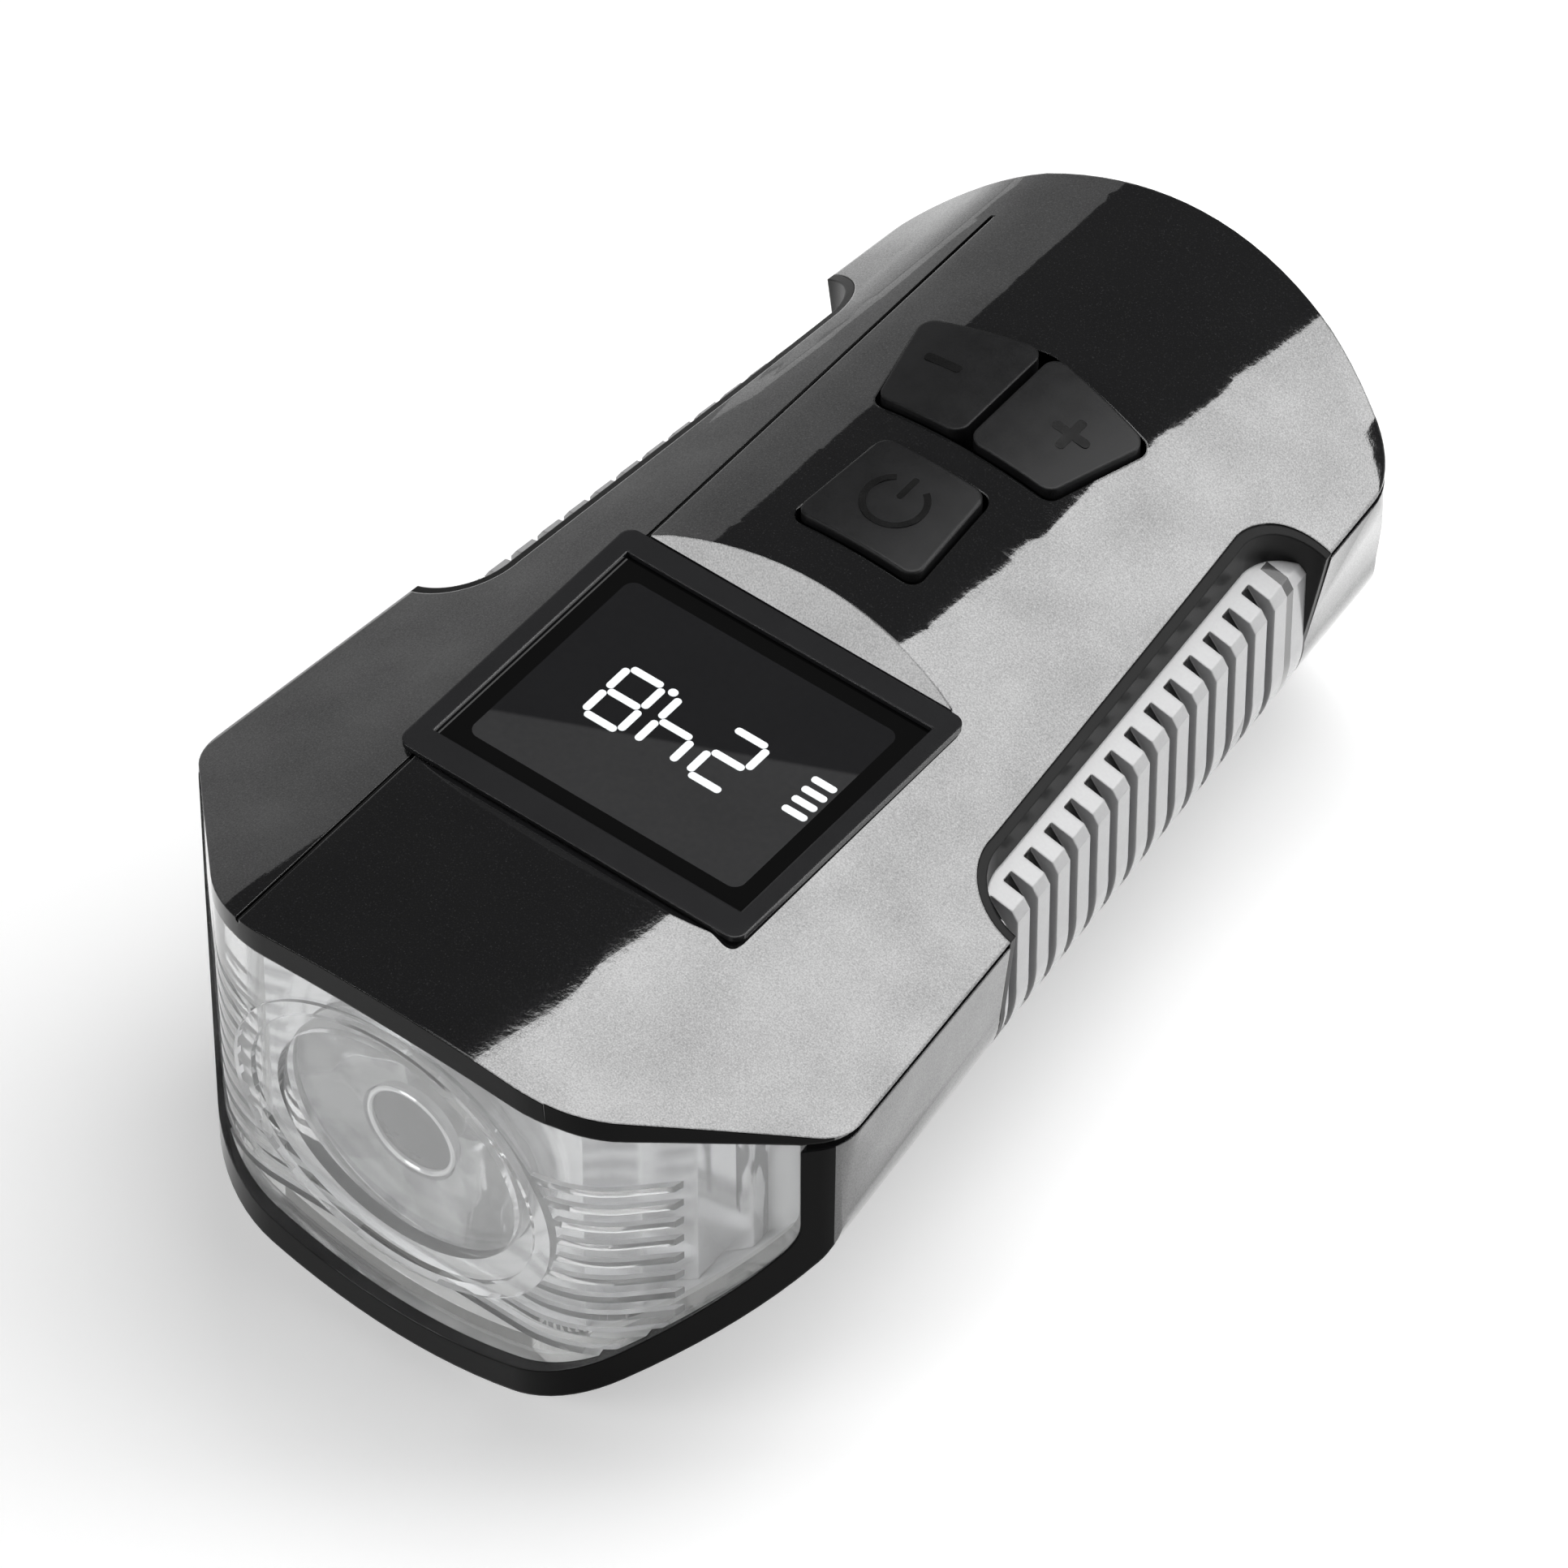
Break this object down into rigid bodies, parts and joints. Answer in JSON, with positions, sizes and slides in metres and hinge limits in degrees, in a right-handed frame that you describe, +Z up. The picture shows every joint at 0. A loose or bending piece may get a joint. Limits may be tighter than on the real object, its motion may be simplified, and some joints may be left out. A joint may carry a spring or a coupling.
{
  "type": "bicycle headlamp",
  "caption": "Bicycle headlamp with a swept clear lens, a level display, three keys, ribbed side grips, a rear horn and charging port, and a slide rail underneath.",
  "frame": {"origin": "under the middle of the lamp, at the level of the slide rail's lowest face", "axes": "+X to the right seen from behind the lamp, -Y the beam's direction, +Z up"},
  "size_m": [0.057, 0.093, 0.0374],
  "materials": {
    "shell_black": "deep black, glossy with a very fine grain",
    "seal_black": "soft black seal",
    "clear_lens": "clear moulded lens",
    "tray_bright": "bright metallised tray",
    "reflector_bright": "bright vacuum-coated plastic",
    "seal_pale": "pale silicone seal",
    "optic_clear": "clear polished optic",
    "lamp_chip": "yellow lamp chip",
    "lamp_board": "white-coated aluminium board",
    "sink_metal": "plain cast aluminium",
    "bezel_black": "glossy black",
    "window_dark": "dark tinted display window",
    "panel_dark": "dark display panel",
    "guide_white": "white light guide",
    "key_black": "matte black keys",
    "plunger_grey": "grey moulded stem",
    "sheet_grey": "grey silicone sheet",
    "switch_metal": "small metal-topped switches",
    "board_green": "green circuit board",
    "chip_black": "black chips",
    "cell_wrap": "blue shrink-wrapped cell",
    "cradle_dark": "dark moulded cradle",
    "tab_nickel": "nickel strip",
    "horn_dark": "dark horn loudspeaker",
    "socket_metal": "stamped steel socket",
    "cover_rubber": "soft black cover",
    "grip_grey": "satin dark grip with bright reflections",
    "border_black": "matte black border strip",
    "screw_steel": "zinc-plated screws",
    "rail_black": "matte black moulded rail"
  },
  "bodies": {
    "housing": {"top_shell": "shell_black", "bottom_shell": "shell_black", "shell_seal": "seal_black", "front_lens": "clear_lens", "lens_seal": "seal_pale", "lens_tray": "tray_bright", "reflector": "reflector_bright", "collimator": "optic_clear", "led_board": "lamp_board", "led_chip": "lamp_chip", "heat_sink": "sink_metal", "display_bezel": "bezel_black", "display_window": "window_dark", "lcd_panel": "panel_dark", "backlight": "guide_white", "keypad_sheet": "sheet_grey", "switch_bodies": "switch_metal", "main_board": "board_green", "board_parts": "chip_black", "battery_cell": "cell_wrap", "battery_cradle": "cradle_dark", "battery_tabs": "tab_nickel", "speaker_gasket": "seal_black", "horn_speaker": "horn_dark", "charge_board": "board_green", "usb_socket": "socket_metal", "grip_left": "grip_grey", "grip_right": "grip_grey", "grip_border_left": "border_black", "grip_border_right": "border_black", "case_screws": "screw_steel", "rail_screws": "screw_steel", "board_screws": "screw_steel", "mount_rail": "rail_black"},
    "power_key": {"power_button": "key_black", "power_plunger": "plunger_grey"},
    "minus_key": {"minus_button": "key_black", "minus_plunger": "plunger_grey"},
    "plus_key": {"plus_button": "key_black", "plus_plunger": "plunger_grey"},
    "cover": {"port_cover": "cover_rubber"}
  },
  "joints": [
    {"name": "power_press", "type": "slide", "parent": "housing", "child": "power_key", "axis": [0, 0, -1], "range_m": [0, 0.0006], "stiffness_N_per_m": 2000, "springref_m": -0.0004},
    {"name": "minus_press", "type": "slide", "parent": "housing", "child": "minus_key", "axis": [0, 0, -1], "range_m": [0, 0.0006], "stiffness_N_per_m": 2000, "springref_m": -0.0004},
    {"name": "plus_press", "type": "slide", "parent": "housing", "child": "plus_key", "axis": [0, 0, -1], "range_m": [0, 0.0006], "stiffness_N_per_m": 2000, "springref_m": -0.0004},
    {"name": "cover_hinge", "type": "hinge", "parent": "housing", "child": "cover", "pos_m": [0, 0.04525, 0.00765], "axis": [-1, 0, 0], "range_deg": [0, 90], "stiffness_Nm_per_rad": 0.0004}
  ]
}
